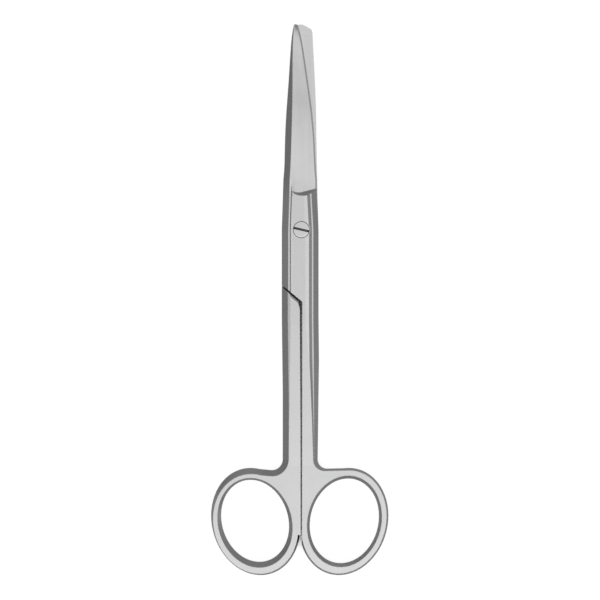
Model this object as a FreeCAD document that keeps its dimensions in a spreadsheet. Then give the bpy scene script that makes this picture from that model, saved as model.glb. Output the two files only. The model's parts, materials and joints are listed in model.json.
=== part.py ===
import FreeCAD, Part
import math
import os
import re
import Sketcher

# Straight operating scissors with one sharp and one blunt tip, closed and lying flat. Millimetres.
# +Y runs to the tips, +Z along the pivot axis towards the screw head. The origin is where the
# pivot axis meets the surface that the scissors lie on.
#
# Each half is one forging. It is drawn in a frame of its own: the parting plane is z = 0, the outer
# face looks along +Z, the blade's spine is on the left (-X) and the ring is on the right (+X).
# The blunt half is then turned half a turn about Y, so that its outer face looks down.

SIZES = {
    # Joint and shanks. The reaches run from the pivot axis to the two silhouettes.
    "half_thickness": 2.5,
    "parting_gap": 0.05,
    "left_reach": 6.57,
    "right_reach": 5.81,
    "heel_y": 11.4,
    "heel_taper": 0.36,
    "shoulder_taper": 0.8,
    "shoulder_slope": 42.0,
    "shoulder_margin": 0.1,
    "shoulder_round": 5.1,
    "shoulder_round_inset": 6.75,
    "shoulder_start": 2.6,
    "heel_crest_level": 2.33,
    "heel_face_level": 1.95,
    "heel_face_inset": 4.13,
    "lap_corner_y": -24.45,
    "lap_angle": 40.0,
    "lap_clearance": 0.55,
    "lap_chamfer": 0.7,
    "corner_relief_width": 0.6,
    "corner_relief_length": 1.7,
    "handle_gap": 0.55,
    "ring_gap": 0.33,
    "gap_edge_break": 0.2,
    # Side bevels of the screw side: how high each facet ends, then how wide it is
    "edge_level": 0.4,
    "bevel_level": 1.75,
    "ledge_level": 1.83,
    "rise_level": 2.38,
    "spine_bevel": 2.2,
    "spine_ledge": 0.55,
    "spine_rise": 0.22,
    "spine_crown": 0.65,
    "shank_bevel": 1.75,
    "shank_ledge": 0.45,
    "shank_rise": 1.05,
    "shank_crown": 1.1,
    "throat_bevel": 1.1,
    "throat_ledge": 0.2,
    "throat_rise": 0.35,
    "throat_crown": 0.2,
    "web_bevel": 0.42,
    "web_ledge": 0.04,
    "web_rise": 0.22,
    "web_crown": 0.07,
    # Side bevels of the inner side
    "inner_edge_level": 0.6,
    "inner_bevel_level": 2.15,
    "inner_bevel": 2.0,
    "inner_crown": 1.0,
    "inner_throat_bevel": 2.1,
    "inner_throat_crown": 0.5,
    "inner_web_bevel": 2.0,
    "inner_web_crown": 0.3,
    # Throat, where the shank runs out into the ring
    "sharp_throat_y": -77.45,
    "sharp_throat_radius": 3.15,
    "blunt_throat_y": -77.4,
    "blunt_throat_radius": 3.7,
    "web_sink": 0.05,
    "shank_waist": 0.3,
    "bow_start_y": -30.0,
    "sharp_bow": 0.14,
    "sharp_bow_y": -44.0,
    "blunt_bow": -0.32,
    "blunt_bow_y": -55.0,
    "ring_half_thickness": 2.1,
    "taper_start_y": -32.0,
    "taper_end_y": -79.5,
    # Rings
    "ring_y": -98.38,
    "ring_width": 29.4,
    "ring_length": 36.5,
    "ring_tilt": 16.0,
    "ring_band_level": 0.9,
    "ring_bevel": 0.6,
    "ring_inner_bevel_wide": 0.6,
    "ring_inner_bevel_long": 1.25,
    "ring_inner_drop": 0.7,
    "ring_foot_y": -103.0,
    "ring_trim_y": -80.0,
    "hole_rise": 0.2,
    "hole_bevel_wide": 0.9,
    "hole_bevel_long": 1.05,
    "hole_inner_bevel": 1.2,
    "hole_inner_drop": 0.5,
    "sharp_ring_x": 14.35,
    "sharp_hole_shift": 0.17,
    "sharp_walls_across": 6.4,
    "sharp_walls_along": 7.5,
    "sharp_hole_tilt": 14.0,
    "blunt_ring_x": 15.4,
    "blunt_hole_shift": 0.2,
    "blunt_walls_across": 7.0,
    "blunt_walls_along": 8.25,
    "blunt_hole_tilt": 17.0,
    # Blades: the stations along the blade, and the spine's bevel there
    "blend_y": 17.0,
    "lower_y": 30.0,
    "middle_y": 43.0,
    "upper_y": 57.0,
    "fore_y": 65.5,
    "spine_angle": 38.0,
    "blend_bevel": 2.2,
    "lower_bevel": 2.2,
    "middle_bevel": 1.85,
    "upper_bevel": 0.95,
    "fore_bevel": 0.5,
    "tip_bevel": 0.25,
    "hone_width": 0.5,
    "hone_height": 0.27,
    "edge_flat": 0.08,
    # Spine and cutting edge of the sharp blade at the stations
    "sharp_tip_y": 69.25,
    "sharp_blend_spine": 6.05,
    "sharp_lower_spine": 5.5,
    "sharp_middle_spine": 4.8,
    "sharp_upper_spine": 3.84,
    "sharp_fore_spine": 3.14,
    "sharp_tip_spine": 2.45,
    "sharp_heel_edge": 5.3,
    "sharp_blend_edge": 5.2,
    "sharp_lower_edge": 4.47,
    "sharp_middle_edge": 3.2,
    "sharp_upper_edge": 1.22,
    "sharp_fore_edge": -0.24,
    "sharp_tip_edge": -1.25,
    # Spine and cutting edge of the blunt blade at the stations
    "blunt_tip_y": 69.2,
    "blunt_blend_spine": 5.35,
    "blunt_lower_spine": 5.1,
    "blunt_middle_spine": 4.85,
    "blunt_upper_spine": 4.22,
    "blunt_fore_spine": 3.78,
    "blunt_tip_spine": 3.64,
    "blunt_heel_edge": 5.3,
    "blunt_blend_edge": 4.75,
    "blunt_lower_edge": 4.2,
    "blunt_middle_edge": 3.55,
    "blunt_upper_edge": 2.7,
    "blunt_fore_edge": 2.2,
    "blunt_tip_edge": 1.95,
    "blunt_slant_width": 3.2,
    "blunt_slant_angle": 28.0,
    "blunt_spine_round": 1.2,
    "blunt_edge_round": 0.9,
    "sharp_tip_round": 0.4,
    # Hollow grind of the inner faces
    "hollow_depth": 0.2,
    "hollow_tip_depth": 0.05,
    "hollow_land": 1.1,
    "hollow_tip_land": 0.9,
    # Pivot screw and its seats
    "head_diameter": 5.4,
    "head_height": 1.3,
    "head_clearance": 0.08,
    "head_seat_gap": 0.03,
    "shoulder_diameter": 3.4,
    "shoulder_clearance": 0.03,
    "thread_diameter": 3.0,
    "thread_clearance": 0.01,
    "slot_width": 0.75,
    "slot_depth": 0.7,
    "slot_angle": -13.0,
    "head_edge_break": 0.15,
    "screw_end_break": 0.12,
    # How far a cutting sketch runs past what it cuts
    "cut_margin": 5.0,
}

doc = FreeCAD.newDocument("operating_scissors")
sheet = doc.addObject("Spreadsheet::Sheet", "Sizes")
for row, (alias, value) in enumerate(SIZES.items(), start=1):
    sheet.set(f"A{row}", alias)
    sheet.set(f"B{row}", str(value))
    sheet.setAlias(f"B{row}", alias)
doc.recompute()


def bind(text):
    """The expression with every size's name pointed at the sheet."""
    return re.sub(r"[a-z][a-z_]*", lambda m: f"Sizes.{m[0]}" if m[0] in SIZES else m[0], text)


def number(text):
    """What an expression of sizes comes to."""
    return float(sheet.evalExpression(text))


def spot(place):
    """The point of a sketch that a pair of expressions names."""
    return FreeCAD.Vector(number(place[0]), number(place[1]), 0)


def new_sketch(body, name, role, offset):
    """An empty sketch on one of the body's own origin planes, lifted along its normal."""
    sketch = body.newObject("Sketcher::SketchObject", name)
    plane = [feature for feature in body.Origin.OriginFeatures if feature.Role == role][0]
    sketch.AttachmentSupport = [(plane, "")]
    sketch.MapMode = "FlatFace"
    sketch.setExpression("AttachmentOffset.Base.z", bind(offset))
    return sketch


def dimension(sketch, constraint, text):
    """Adds a dimension to a sketch and ties it to an expression of sizes."""
    index = sketch.addConstraint(constraint)
    sketch.setExpression(f"Constraints[{index}]", bind(text))


def place_point(sketch, geometry, end, place):
    """Ties one point of a sketch to the sketch's origin, across and along."""
    for kind, text in zip(("DistanceX", "DistanceY"), place):
        constraint = Sketcher.Constraint(kind, -1, 1, geometry, end, number(text))
        dimension(sketch, constraint, text)


def outline(body, name, role, corners, offset="0", arc=None):
    """A closed outline through the corners.

    arc is (corner, centre): the side after that corner is then an arc about centre, which runs
    anticlockwise to the next corner.
    """
    sketch = new_sketch(body, name, role, offset)
    count = len(corners)
    points = [spot(corner) for corner in corners]
    for index in range(count):
        following = points[(index + 1) % count]
        if arc and index == arc[0]:
            middle = spot(arc[1])
            ends = [math.atan2(end.y - middle.y, end.x - middle.x) for end in (points[index], following)]
            circle_of_arc = Part.Circle(middle, FreeCAD.Vector(0, 0, 1), (following - middle).Length)
            side = Part.ArcOfCircle(circle_of_arc, *ends)
        else:
            side = Part.LineSegment(points[index], following)
        sketch.addGeometry(side, False)
    for index, corner in enumerate(corners):
        place_point(sketch, index, 1, corner)
        following = (index + 1) % count
        sketch.addConstraint(Sketcher.Constraint("Coincident", index, 2, following, 1))
    if arc:
        middle = Sketcher.Constraint("DistanceX", -1, 1, arc[0], 3, number(arc[1][0]))
        dimension(sketch, middle, arc[1][0])
    return sketch


def ellipse(body, name, offset, centre, width, length, tilt):
    """An upright ellipse whose top leans to the right by tilt degrees."""
    sketch = new_sketch(body, name, "XY_Plane", offset)
    lean = f"({length}) / 2 * %s(({tilt}) * 1deg)"
    top = (f"{centre[0]} + {lean % 'sin'}", f"{centre[1]} + {lean % 'cos'}")
    across = f"({width}) / 2 * %s(({tilt}) * 1deg)"
    flank = (f"{centre[0]} + {across % 'cos'}", f"{centre[1]} - {across % 'sin'}")
    sketch.addGeometry(Part.Ellipse(spot(top), spot(flank), spot(centre)), False)
    sketch.exposeInternalGeometry(0)
    place_point(sketch, 0, 3, centre)
    place_point(sketch, 1, 1, top)
    dimension(sketch, Sketcher.Constraint("Distance", 2, number(width)), width)
    return sketch


def circle(body, name, role, offset, centre, radius):
    """A circle on one of the body's origin planes."""
    sketch = new_sketch(body, name, role, offset)
    ring = Part.Circle(spot(centre), FreeCAD.Vector(0, 0, 1), number(radius))
    sketch.addGeometry(ring, False)
    place_point(sketch, 0, 3, centre)
    dimension(sketch, Sketcher.Constraint("Radius", 0, number(radius)), radius)
    return sketch


def loft(body, name, sections, ruled=True, cut=False):
    """A loft through the sections, which adds to the body or cuts it."""
    kind = "PartDesign::SubtractiveLoft" if cut else "PartDesign::AdditiveLoft"
    feature = body.newObject(kind, name)
    feature.Profile = sections[0]
    feature.Sections = sections[1:]
    feature.Ruled = ruled
    feature.Closed = False
    return feature


def pocket(body, name, profile, depth=None):
    """A cut straight down from its sketch, or right through both ways where no depth is given."""
    feature = body.newObject("PartDesign::Pocket", name)
    feature.Profile = profile
    if depth is None:
        feature.Type = "ThroughAll"
        feature.Midplane = True
    else:
        feature.setExpression("Length", bind(depth))
    return feature


def web_corners(side, throat, web, gap_break):
    """Corners from the throat along the web's top to the ring's crest, and to the handles' gap.

    throat and web say how far this level steps in from the silhouette, beside and below the throat.
    """
    outer = f"{side['shank']} - shank_waist - ({throat})"
    centre = f"{outer} + {side['throat_radius']} + {web}"
    dip = f"{side['throat_y']} - {side['throat_radius']} - ({web})"
    lean, lie = "sin(ring_tilt * 1deg)", "cos(ring_tilt * 1deg)"
    crest = f"sqrt((ring_length / 2 * {lie}) ^ 2 + (ring_width / 2 * {lean}) ^ 2)"
    shift = f"((ring_length / 2) ^ 2 - (ring_width / 2) ^ 2) * {lean} * {lie} / {crest}"
    corners = [
        (outer, side["throat_y"]),
        (centre, dip),
        (f"{side['ring_x']} + {shift}", f"ring_y + {crest} - web_sink - ({web})"),
        (side["ring_x"], "ring_y"),
        (f"ring_gap / 2 + {gap_break}", "ring_foot_y"),
    ]
    return corners, (centre, side["throat_y"])


def add_outer_plate(body, side):
    """The lap and the outer side of the shank, in facets that step in towards the outer face."""
    spine = [
        "0",
        "0",
        "spine_bevel",
        "spine_bevel + spine_ledge",
        "spine_bevel + spine_ledge + spine_rise",
        "spine_bevel + spine_ledge + spine_rise + spine_crown",
    ]
    shank = [text.replace("spine", "shank") for text in spine]
    throat = [text.replace("spine", "throat") for text in spine]
    web = [text.replace("spine", "web") for text in spine]
    levels = ["parting_gap / 2", "edge_level", "bevel_level", "ledge_level", "rise_level"]
    levels.append("half_thickness")
    shoulder_end = "heel_y + half_thickness / tan(shoulder_slope * 1deg) + 1"
    lap_end = "lap_corner_y + lap_clearance / 2 / cos(lap_angle * 1deg)"
    sections = []
    for index, level in enumerate(levels):
        left = f"-{side['spine']} + {spine[index]}"
        ridge = f"-{side['spine']} + heel_taper + {spine[max(index, 4)]} + shoulder_margin"
        right = f"{side['shank']} - ({shank[index]})"
        handle, centre = web_corners(side, throat[index], web[index], "0")
        corners = [
            (f"{right} - shoulder_taper", shoulder_end),
            (right, "0"),
            (right, "bow_start_y"),
            (f"{right} + {side['bow']}", side["bow_y"]),
            *handle,
            ("handle_gap / 2", f"{lap_end} - tan(lap_angle * 1deg) * handle_gap / 2"),
            (left, f"{lap_end} - tan(lap_angle * 1deg) * ({left})"),
            (left, "0"),
            (f"{left} + heel_taper", "heel_y"),
            (ridge, "heel_y"),
            (ridge, shoulder_end),
        ]
        name = f"{side['name']}_outer_plate_{index}"
        sections.append(outline(body, name, "XY_Plane", corners, level, (4, centre)))
    loft(body, f"{side['name']}_outer_plate", sections)


def add_inner_plate(body, side):
    """The inner side of the shank, from the slanted step at the lap down to the ring."""
    levels = ["parting_gap / 2", "-inner_edge_level", "-inner_bevel_level", "-half_thickness"]
    shank = ["0", "0", "inner_bevel", "inner_bevel + inner_crown"]
    throat = ["0", "0", "inner_throat_bevel", "inner_throat_bevel + inner_throat_crown"]
    web = ["0", "0", "inner_web_bevel", "inner_web_bevel + inner_web_crown"]
    gap_break = ["0", "0", "0", "gap_edge_break"]
    chamfer = ["0", "0", "0", "lap_chamfer"]
    sections = []
    for index, level in enumerate(levels):
        step = f"lap_corner_y - (lap_clearance / 2 + {chamfer[index]}) / cos(lap_angle * 1deg)"
        rise = f"{step} + tan(lap_angle * 1deg)"
        right = f"{side['shank']} - ({shank[index]})"
        gap_side = f"handle_gap / 2 + {gap_break[index]}"
        relief = f"{gap_side} + corner_relief_width"
        handle, centre = web_corners(side, throat[index], web[index], gap_break[index])
        corners = [
            (right, f"{rise} * ({right})"),
            (right, "bow_start_y"),
            (f"{right} + {side['bow']}", side["bow_y"]),
            *handle,
            (gap_side, f"{rise} * ({gap_side}) - corner_relief_length"),
            (relief, f"{rise} * ({relief})"),
        ]
        name = f"{side['name']}_inner_plate_{index}"
        sections.append(outline(body, name, "XY_Plane", corners, level, (3, centre)))
    loft(body, f"{side['name']}_inner_plate", sections)


def cut_handle_taper(body, side):
    """Thins the handle from the joint's thickness to the ring's, on both faces."""
    for face, sign in (("outer", ""), ("inner", "-")):
        corners = [
            ("taper_start_y", f"{sign}half_thickness"),
            ("taper_end_y", f"{sign}ring_half_thickness"),
            ("ring_y - ring_length", f"{sign}ring_half_thickness"),
            ("ring_y - ring_length", f"{sign}(half_thickness + cut_margin)"),
            ("taper_start_y", f"{sign}(half_thickness + cut_margin)"),
        ]
        name = f"{side['name']}_{face}_taper"
        pocket(body, name, outline(body, f"{name}_side_view", "YZ_Plane", corners))


def cut_shoulder(body, side):
    """The sloped shoulder at the heel, which faces the tips and curves round to the spine."""
    name = f"{side['name']}_shoulder"
    turn_x = f"-{side['spine']} + shoulder_round_inset"
    start_x = f"-{side['spine']} + shoulder_start"
    rise = "shoulder_round - sqrt(shoulder_round ^ 2 - (shoulder_round_inset - shoulder_start) ^ 2)"
    sections = []
    for index, level in enumerate(("-cut_margin", "half_thickness + cut_margin")):
        foot = f"heel_y + (half_thickness - ({level})) / tan(shoulder_slope * 1deg)"
        corners = [
            (start_x, f"{foot} + {rise}"),
            (turn_x, foot),
            (f"{side['shank']} + cut_margin", foot),
            (f"{side['shank']} + cut_margin", f"{foot} + 3 * cut_margin"),
            (start_x, f"{foot} + 3 * cut_margin"),
        ]
        arc = (0, (turn_x, f"{foot} + shoulder_round"))
        sections.append(outline(body, f"{name}_plan_{index}", "XY_Plane", corners, level, arc))
    loft(body, name, sections, cut=True)


def add_ring(body, side):
    """The solid ring with its bevels, and the flat where it meets the other ring."""
    inner_centre = (side["ring_x"], "ring_y - ring_inner_drop")
    outer_centre = (side["ring_x"], "ring_y")
    narrow = ("ring_width - 2 * ring_bevel", "ring_length - 2 * ring_bevel")
    inner_size = ("ring_width - 2 * ring_inner_bevel_wide", "ring_length - 2 * ring_inner_bevel_long")
    full = ("ring_width", "ring_length")
    levels = [
        ("-ring_half_thickness", inner_centre, inner_size),
        ("-ring_band_level", outer_centre, full),
        ("ring_band_level", outer_centre, full),
        ("ring_half_thickness", outer_centre, narrow),
    ]
    sections = []
    for index, (level, centre, extent) in enumerate(levels):
        name = f"{side['name']}_ring_{index}"
        sections.append(ellipse(body, name, level, centre, *extent, "ring_tilt"))
    loft(body, f"{side['name']}_ring", sections)

    corners = [
        ("ring_gap / 2", "ring_trim_y"),
        ("ring_gap / 2", "ring_y - ring_length"),
        ("-ring_width", "ring_y - ring_length"),
        ("-ring_width", "ring_trim_y"),
    ]
    name = f"{side['name']}_ring_flat"
    pocket(body, name, outline(body, f"{name}_plan", "XY_Plane", corners))


def cut_finger_hole(body, side):
    """The finger hole, widening towards both faces."""
    hole = (side["hole_width"], side["hole_length"])
    hole_centre = (side["hole_x"], "ring_y + hole_rise")
    low_centre = (side["hole_x"], "ring_y + hole_rise - hole_inner_drop")
    wide = (f"{hole[0]} + 2 * hole_bevel_wide", f"{hole[1]} + 2 * hole_bevel_long")
    low = (f"{hole[0]} + 2 * hole_inner_bevel", f"{hole[1]} + 2 * hole_inner_bevel")
    levels = [
        ("-(ring_half_thickness + cut_margin)", low_centre, low),
        ("-ring_half_thickness", low_centre, low),
        ("-ring_band_level", hole_centre, hole),
        ("ring_band_level", hole_centre, hole),
        ("ring_half_thickness", hole_centre, wide),
        ("ring_half_thickness + cut_margin", hole_centre, wide),
    ]
    sections = []
    for index, (level, centre, extent) in enumerate(levels):
        name = f"{side['name']}_hole_{index}"
        sections.append(ellipse(body, name, level, centre, *extent, side["hole_tilt"]))
    loft(body, f"{side['name']}_hole", sections, cut=True)


def blade_corners(side, station):
    """The blade's section at a station: spine, bevelled back, ground face, honed edge."""
    spine = f"-{side['name']}_{station}_spine"
    edge = f"{side['name']}_{station}_edge"
    width = f"{station}_bevel"
    back = (f"{spine} + {width}", f"edge_level + {width} * tan(spine_angle * 1deg)")
    hone = (f"{edge} - hone_width", "parting_gap / 2 + hone_height")
    ends = [(edge, "parting_gap / 2 + edge_flat"), (edge, "parting_gap / 2")]
    return [(spine, "parting_gap / 2"), (spine, "edge_level"), back, hone, *ends]


def add_blade(body, side):
    """The blend out of the joint, and then the blade as one smooth loft to the tip."""
    left = f"-{side['spine']} + heel_taper"
    heel_edge = f"{side['name']}_heel_edge"
    crest = "(heel_crest_level - ledge_level) / (rise_level - ledge_level)"
    heel = [
        (left, "parting_gap / 2"),
        (left, "edge_level"),
        (f"{left} + spine_bevel", "bevel_level"),
        (f"{left} + spine_bevel + spine_ledge", "ledge_level"),
        (f"{left} + spine_bevel + spine_ledge + spine_rise * {crest}", "heel_crest_level"),
        (f"{left} + heel_face_inset", "heel_face_level"),
        (f"{heel_edge} - hone_width", "parting_gap / 2 + hone_height"),
        (heel_edge, "parting_gap / 2 + edge_flat"),
        (heel_edge, "parting_gap / 2"),
    ]
    blend = blade_corners(side, "blend")
    back, hone = blend[2], blend[3]
    face = []
    for share in ("0.05", "0.1", "0.2"):
        across = f"({back[0]}) * (1 - {share}) + ({hone[0]}) * {share}"
        height = f"({back[1]}) * (1 - {share}) + ({hone[1]}) * {share}"
        face.append((across, height))
    blend[3:3] = face
    name = side["name"]
    heel_sketch = outline(body, f"{name}_heel_section", "XZ_Plane", heel, "-heel_y")
    blend_sketch = outline(body, f"{name}_blend_section", "XZ_Plane", blend, "-blend_y")
    loft(body, f"{name}_heel_blend", [heel_sketch, blend_sketch])

    sections = []
    for station in ("blend", "lower", "middle", "upper", "fore", "tip"):
        place = side["tip_y"] if station == "tip" else f"{station}_y"
        corners = blade_corners(side, station)
        sketch_name = f"{name}_blade_{station}"
        sections.append(outline(body, sketch_name, "XZ_Plane", corners, f"-{place}"))
    loft(body, f"{name}_blade", sections, ruled=False)


def cut_hollow(body, side):
    """The shallow hollow ground into the blade's inner face, between a land at spine and edge."""
    sections = []
    ends = (("blend", "hollow_land", "hollow_depth"), ("fore", "hollow_tip_land", "hollow_tip_depth"))
    for station, land, depth in ends:
        spine = f"{side['name']}_{station}_spine"
        edge = f"{side['name']}_{station}_edge"
        half = f"(({edge} + {spine}) / 2 - {land})"
        radius = f"({half} * {half} + {depth} * {depth}) / (2 * {depth})"
        centre = (f"({edge} - {spine}) / 2", f"parting_gap / 2 + {depth} - {radius}")
        name = f"{side['name']}_hollow_{station}"
        sections.append(circle(body, name, "XZ_Plane", f"-{station}_y", centre, radius))
    loft(body, f"{side['name']}_hollow", sections, cut=True)


def round_tip_edge(body, name, edge, tip, radius):
    """Rounds the corner between a blade's cutting edge and its tip."""
    corners = [
        (edge, f"{tip} - {radius}"),
        (f"{edge} - {radius}", tip),
        (f"{edge} - {radius}", f"{tip} + cut_margin"),
        (f"{edge} + cut_margin", f"{tip} + cut_margin"),
        (f"{edge} + cut_margin", f"{tip} - {radius}"),
    ]
    arc = (0, (f"{edge} - {radius}", f"{tip} - {radius}"))
    pocket(body, name, outline(body, f"{name}_plan", "XY_Plane", corners, "0", arc))


def round_blunt_tip(body):
    """Slants the blunt tip towards the spine, and rounds it there and at the edge."""
    tip, margin = "blunt_tip_y", "cut_margin"
    spine, big = "-blunt_tip_spine", "blunt_spine_round"
    lean, lie = "sin(blunt_slant_angle * 1deg)", "cos(blunt_slant_angle * 1deg)"
    run = f"(blunt_slant_width - {big} + {big} * {lean})"
    fall = f"{tip} - {run} * {lean} / {lie}"
    round_y = f"{fall} - {big} * {lie}"
    spine_corners = [
        (f"{spine} + blunt_slant_width", tip),
        (f"{spine} + {big} - {big} * {lean}", fall),
        (spine, round_y),
        (f"{spine} - {margin}", round_y),
        (f"{spine} - {margin}", f"{tip} + {margin}"),
        (f"{spine} + blunt_slant_width", f"{tip} + {margin}"),
    ]
    arc = (1, (f"{spine} + {big}", round_y))
    sketch = outline(body, "blunt_tip_spine_plan", "XY_Plane", spine_corners, "0", arc)
    pocket(body, "blunt_tip_spine_rounding", sketch)
    round_tip_edge(body, "blunt_tip_edge_rounding", "blunt_tip_edge", tip, "blunt_edge_round")


def make_half(name, spine, shank):
    """One forging, in its own frame, without its pivot hole."""
    body = doc.addObject("PartDesign::Body", f"{name}_half")
    body.Label = f"{name}_half"
    side = {"name": name, "spine": spine, "shank": shank, "tip_y": f"{name}_tip_y"}
    for word in ("ring_x", "hole_tilt", "throat_y", "throat_radius", "bow", "bow_y"):
        side[word] = f"{name}_{word}"
    side["hole_x"] = f"{name}_ring_x + {name}_hole_shift"
    side["hole_width"] = f"ring_width - {name}_walls_across"
    side["hole_length"] = f"ring_length - {name}_walls_along"
    add_outer_plate(body, side)
    add_inner_plate(body, side)
    cut_handle_taper(body, side)
    cut_shoulder(body, side)
    add_ring(body, side)
    cut_finger_hole(body, side)
    add_blade(body, side)
    cut_hollow(body, side)
    return body


def make_sharp_half():
    """The upper half, with the bore and the sunk seat of the screw head."""
    body = make_half("sharp", "left_reach", "right_reach")
    round_tip_edge(body, "sharp_tip_edge_rounding", "sharp_tip_edge", "sharp_tip_y", "sharp_tip_round")
    bore = circle(
        body, "sharp_bore_plan", "XY_Plane", "0", ("0", "0"), "shoulder_diameter / 2 + shoulder_clearance"
    )
    pocket(body, "sharp_bore", bore)
    seat = circle(
        body, "head_seat_plan", "XY_Plane", "half_thickness", ("0", "0"), "head_diameter / 2 + head_clearance"
    )
    pocket(body, "head_seat", seat, "head_height + head_seat_gap")
    body.setExpression("Placement.Base.z", bind("half_thickness"))
    return body


def make_blunt_half():
    """The lower half, with the tapped hole, turned over about Y."""
    body = make_half("blunt", "right_reach", "left_reach")
    round_blunt_tip(body)
    hole = circle(
        body, "tapped_hole_plan", "XY_Plane", "0", ("0", "0"), "thread_diameter / 2 + thread_clearance"
    )
    pocket(body, "tapped_hole", hole)
    body.Placement = FreeCAD.Placement(
        FreeCAD.Vector(0, 0, 0), FreeCAD.Rotation(FreeCAD.Vector(0, 1, 0), 180)
    )
    body.setExpression("Placement.Base.z", bind("half_thickness"))
    return body


def make_pivot_screw():
    """The pivot screw: slotted head, plain shoulder, and a threaded end filed flush."""
    body = doc.addObject("PartDesign::Body", "pivot_screw")
    body.Label = "pivot_screw"
    head, shoulder = "head_diameter / 2", "shoulder_diameter / 2"
    thread, top = "thread_diameter / 2", "2 * half_thickness"
    corners = [
        ("0", "0"),
        (f"{thread} - screw_end_break", "0"),
        (thread, "screw_end_break"),
        (thread, "half_thickness - parting_gap / 2"),
        (shoulder, "half_thickness - parting_gap / 2"),
        (shoulder, f"{top} - head_height"),
        (head, f"{top} - head_height"),
        (head, f"{top} - head_edge_break"),
        (f"{head} - head_edge_break", top),
        ("0", top),
    ]
    profile = outline(body, "screw_profile", "XZ_Plane", corners)
    turning = body.newObject("PartDesign::Revolution", "screw_turning")
    turning.Profile = profile
    turning.ReferenceAxis = (profile, ["V_Axis"])
    turning.Angle = 360.0
    reach, half = "head_diameter", "slot_width / 2"
    across, along = "cos(slot_angle * 1deg)", "sin(slot_angle * 1deg)"
    slot = []
    for end, side in (("-", "-"), ("", "-"), ("", ""), ("-", "")):
        x_text = f"{end}{reach} * {across} - ({side}{half}) * {along}"
        y_text = f"{end}{reach} * {along} + ({side}{half}) * {across}"
        slot.append((x_text, y_text))
    pocket(body, "screw_slot", outline(body, "slot_plan", "XY_Plane", slot, top), "slot_depth")
    return body


def check(bodies):
    """Stops with a message unless every object and every piece came out whole."""
    doc.recompute()
    for item in doc.Objects:
        if "Invalid" in item.State or "Error" in item.State:
            raise RuntimeError(f"{item.Name} did not build: {item.State}")
    for body in bodies:
        shape = body.Shape
        if shape.isNull() or not shape.isValid() or len(shape.Solids) != 1:
            raise RuntimeError(f"{body.Label} is not one valid solid")
        print(f"{body.Label}: {shape.BoundBox}, volume {shape.Volume:.1f} mm3")


pieces = [make_sharp_half(), make_blunt_half(), make_pivot_screw()]
check(pieces)
os.makedirs("parts", exist_ok=True)
for piece in pieces:
    piece.Shape.exportStep(f"parts/{piece.Label}.step")
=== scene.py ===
"""Looks of a pair of straight operating scissors, closed and lying flat under soft studio light.

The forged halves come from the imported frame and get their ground, satin and honed finishes here.
The pivot screw is rebuilt with its turned head, slot and rolled thread. Lengths are in metres.
"""

import json
import logging
import math
from dataclasses import dataclass, field
from enum import Enum

import bmesh
import bpy
from mathutils import Matrix, Vector

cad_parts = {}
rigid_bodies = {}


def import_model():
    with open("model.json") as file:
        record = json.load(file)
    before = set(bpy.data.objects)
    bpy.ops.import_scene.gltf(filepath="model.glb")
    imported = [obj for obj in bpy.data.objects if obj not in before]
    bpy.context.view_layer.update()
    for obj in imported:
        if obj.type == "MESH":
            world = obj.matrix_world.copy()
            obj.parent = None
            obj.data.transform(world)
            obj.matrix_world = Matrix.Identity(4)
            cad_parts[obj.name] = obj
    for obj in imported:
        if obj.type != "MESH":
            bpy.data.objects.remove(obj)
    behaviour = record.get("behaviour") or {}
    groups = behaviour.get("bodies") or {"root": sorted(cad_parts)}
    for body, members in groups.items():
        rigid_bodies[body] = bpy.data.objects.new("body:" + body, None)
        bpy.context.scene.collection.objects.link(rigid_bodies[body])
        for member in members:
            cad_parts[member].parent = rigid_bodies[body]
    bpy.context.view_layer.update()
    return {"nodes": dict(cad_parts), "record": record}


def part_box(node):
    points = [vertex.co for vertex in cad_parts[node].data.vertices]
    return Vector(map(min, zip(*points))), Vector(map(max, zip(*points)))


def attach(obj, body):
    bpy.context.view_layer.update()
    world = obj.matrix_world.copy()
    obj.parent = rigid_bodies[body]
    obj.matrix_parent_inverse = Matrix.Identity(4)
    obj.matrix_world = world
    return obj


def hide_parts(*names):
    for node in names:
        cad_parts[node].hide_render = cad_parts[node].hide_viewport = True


MM = 0.001
WELD_DISTANCE = 1e-7
HORIZON_ANGLE = 90.0

# Settings of the nodes: their spacing in the editor, the rays that the rounded edge and the shade of
# gaps take, and the level that a noise swings about.
NODE_SPACING = 190.0
BEVEL_SAMPLES = 6
SHADE_SAMPLES = 8
MIDDLE_TONE = 0.5

logging.basicConfig(level=logging.INFO, format="%(message)s")
log = logging.getLogger("scissors")

for leftover in list(bpy.data.objects):
    bpy.data.objects.remove(leftover)
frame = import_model()


class Grain(Enum):
    """Which way the grinding belt or tool ran over a surface."""

    ALONG = "along the shank and blade"
    ACROSS = "across the blade"
    TURNED = "round the screw's axis"


class Finish(Enum):
    """The finishes that one forging shows."""

    SATIN = 0
    GROUND = 1
    HONED = 2


class Mixing(Enum):
    """What a Mix node mixes: its data type, its two inputs and its output."""

    NUMBER = ("FLOAT", 2, 3, 0)
    PLACE = ("VECTOR", 4, 5, 1)
    COLOUR = ("RGBA", 6, 7, 2)


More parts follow.
